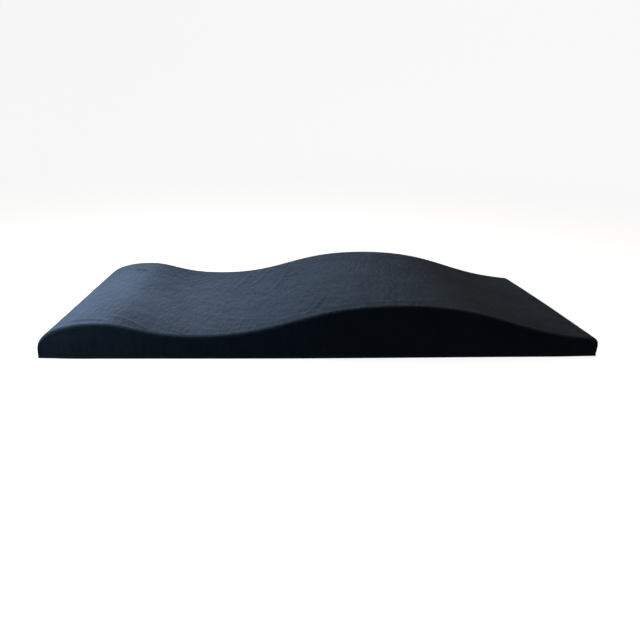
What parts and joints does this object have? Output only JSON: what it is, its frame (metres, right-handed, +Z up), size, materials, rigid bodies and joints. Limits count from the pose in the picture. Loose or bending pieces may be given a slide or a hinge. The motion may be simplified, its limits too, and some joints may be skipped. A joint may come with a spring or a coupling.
{
  "type": "contoured foam positioning cushion",
  "caption": "Long wave-shaped foam positioning cushion with a low and a high crest, in a sewn velour cover with a zip along the far side.",
  "frame": {"origin": "centre of the flat underside of the base panel", "axes": "+X along the cushion from the rounded nose to the low foot end, +Y across it towards the side with the zip, +Z up from the underside"},
  "size_m": [1.4, 0.5641, 0.14],
  "materials": {
    "foam": "open-cell polyurethane foam, matt, cut face with fine pores",
    "liner": "thin knitted liner, matt",
    "velour": "short-pile slate blue velour with a fine rib across the width, soft sheen",
    "grip_fabric": "woven base cloth with small raised grip dots, matt",
    "thread": "twisted polyester thread",
    "zip_tape": "herringbone woven tape, matt",
    "zip_coil": "nylon coil, satin",
    "zip_stop": "stamped, satin",
    "zip_slider": "die-cast zinc with dark enamel, satin",
    "label": "woven satin ribbon, blank"
  },
  "bodies": {
    "cushion": {"foam_core": "foam", "core_liner": "liner", "cover_top_panel": "velour", "cover_near_side": "velour", "cover_far_upper": "velour", "cover_far_lower": "velour", "cover_base_panel": "grip_fabric", "near_seam_thread": "thread", "far_seam_thread": "thread", "end_seam_threads": "thread", "zip_tape_upper": "zip_tape", "zip_tape_lower": "zip_tape", "zip_coil_upper": "zip_coil", "zip_coil_lower": "zip_coil", "zip_topstitch_upper": "thread", "zip_topstitch_lower": "thread", "zip_bar_tacks": "thread", "zip_top_stops": "zip_stop", "zip_bottom_stop": "zip_stop", "care_label": "label"},
    "slider": {"zip_slider": "zip_slider"},
    "pull": {"zip_pull": "zip_slider"}
  },
  "joints": [
    {"name": "zip_slide", "type": "slide", "parent": "cushion", "child": "slider", "axis": [-1, 0, 0], "range_m": [0, 1.1]},
    {"name": "pull_swing", "type": "hinge", "parent": "slider", "child": "pull", "pos_m": [0.55, 0.28205, 0.026], "axis": [0, 0, -1], "range_deg": [0, 180]}
  ]
}
